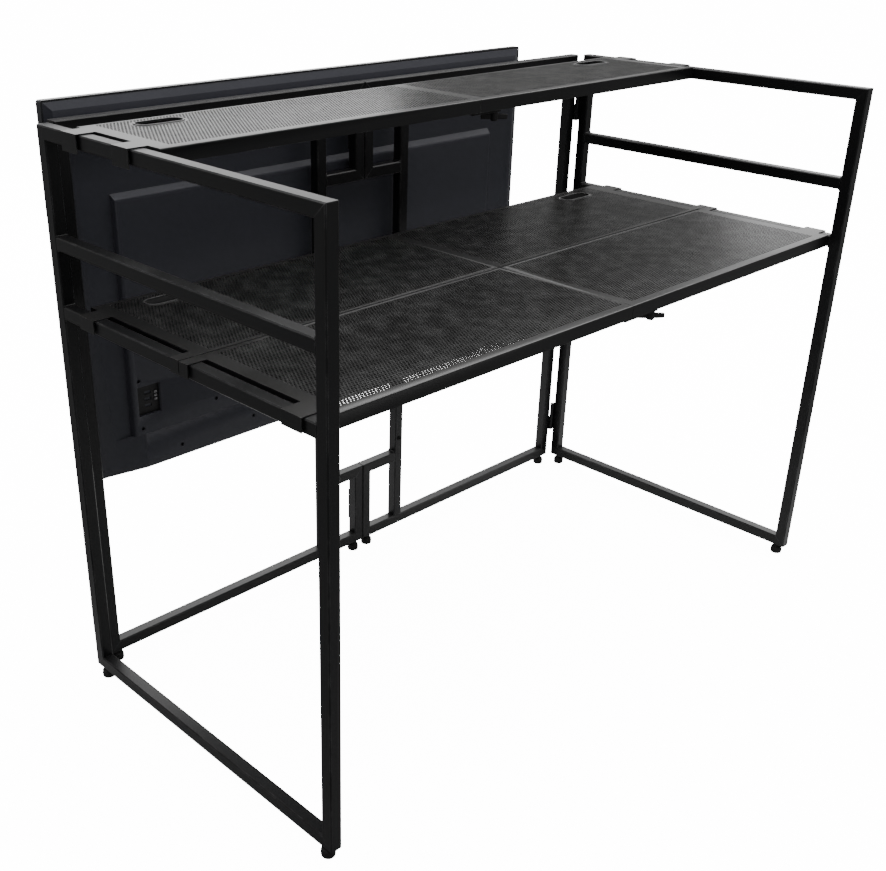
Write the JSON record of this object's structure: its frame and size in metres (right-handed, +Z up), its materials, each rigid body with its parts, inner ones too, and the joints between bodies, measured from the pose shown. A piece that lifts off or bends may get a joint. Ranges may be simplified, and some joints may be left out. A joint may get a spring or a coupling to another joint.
{
  "type": "dj booth",
  "caption": "Folding booth of black square tube with perforated hook-on table trays and upper shelf, hinged frames, turn latches and a flat screen hung on its audience side.",
  "frame": {"origin": "on the floor under the middle of the booth's overall box", "axes": "+X along the booth's width, +Y from the operator towards the audience, +Z up"},
  "size_m": [1.55, 0.827, 1.16],
  "materials": {
    "frame_paint": "satin black powder coat",
    "hinge_paint": "satin black",
    "tray_paint": "fine textured black powder coat",
    "foot_rubber": "matt",
    "plain_steel": "zinc plated",
    "knob_plastic": "moulded",
    "bezel": "silver grey edge",
    "panel": "dark glossy front",
    "cover_plastic": "fine grain",
    "port_plastic": "moulded",
    "bracket_paint": "black"
  },
  "bodies": {
    "frame": {"left_side_rear_post": "frame_paint", "left_side_front_post": "frame_paint", "left_side_top_rail": "frame_paint", "left_side_bottom_rail": "frame_paint", "left_side_table_rail": "frame_paint", "left_side_guard_rail": "frame_paint", "right_side_rear_post": "frame_paint", "right_side_front_post": "frame_paint", "right_side_top_rail": "frame_paint", "right_side_bottom_rail": "frame_paint", "right_side_table_rail": "frame_paint", "right_side_guard_rail": "frame_paint", "front_left_outer_post": "frame_paint", "front_left_inner_post": "frame_paint", "front_left_top_rail": "frame_paint", "front_left_bottom_rail": "frame_paint", "front_left_upper_stile": "frame_paint", "front_left_upper_rail": "frame_paint", "front_left_lower_stile": "frame_paint", "front_left_lower_rail": "frame_paint", "front_right_outer_post": "frame_paint", "front_right_inner_post": "frame_paint", "front_right_top_rail": "frame_paint", "front_right_bottom_rail": "frame_paint", "front_right_upper_stile": "frame_paint", "front_right_upper_rail": "frame_paint", "front_right_lower_stile": "frame_paint", "front_right_lower_rail": "frame_paint", "corner_hinge_front_leaves": "hinge_paint", "corner_hinge_side_leaves": "hinge_paint", "centre_hinge_left_leaves": "hinge_paint", "centre_hinge_right_leaves": "hinge_paint", "corner_hinge_pins": "hinge_paint", "centre_hinge_pins": "hinge_paint", "feet": "foot_rubber", "hanger_rails": "bracket_paint"},
    "screen": {"screen_bezel": "bezel", "screen_panel": "panel", "screen_back_cover": "cover_plastic", "screen_housing": "cover_plastic", "screen_port_plate": "port_plastic", "screen_arms": "bracket_paint"},
    "shelf": {"shelf_left": "tray_paint", "shelf_right": "tray_paint", "shelf_hinge_pin": "plain_steel"},
    "shelf_latch": {"shelf_latch_bar": "bracket_paint", "shelf_latch_knob": "knob_plastic"},
    "table_near": {"table_near_left": "tray_paint", "table_near_right": "tray_paint", "table_near_hinge_pin": "plain_steel"},
    "table_near_latch": {"table_near_latch_bar": "bracket_paint", "table_near_latch_knob": "knob_plastic"},
    "table_far": {"table_far_left": "tray_paint", "table_far_right": "tray_paint", "table_far_hinge_pin": "plain_steel"},
    "table_far_latch": {"table_far_latch_bar": "bracket_paint", "table_far_latch_knob": "knob_plastic"}
  },
  "joints": [
    {"name": "shelf_lift", "type": "slide", "parent": "frame", "child": "shelf", "axis": [0, 0, 1], "range_m": [0, 0.3]},
    {"name": "shelf_latch_turn", "type": "hinge", "parent": "shelf", "child": "shelf_latch", "pos_m": [0.054, 0.0185, 1.112], "axis": [0, 0, -1], "range_deg": [0, 90]},
    {"name": "table_near_lift", "type": "slide", "parent": "frame", "child": "table_near", "axis": [0, 0, 1], "range_m": [0, 0.09]},
    {"name": "table_near_latch_turn", "type": "hinge", "parent": "table_near", "child": "table_near_latch", "pos_m": [0.078, -0.3745, 0.794], "axis": [0, 0, -1], "range_deg": [0, 90]},
    {"name": "table_far_lift", "type": "slide", "parent": "frame", "child": "table_far", "axis": [0, 0, 1], "range_m": [0, 0.09]},
    {"name": "table_far_latch_turn", "type": "hinge", "parent": "table_far", "child": "table_far_latch", "pos_m": [0.078, -0.0295, 0.794], "axis": [0, 0, -1], "range_deg": [0, 90]},
    {"name": "screen_lift", "type": "slide", "parent": "frame", "child": "screen", "axis": [0, 0, 1], "range_m": [0, 0.03]}
  ]
}
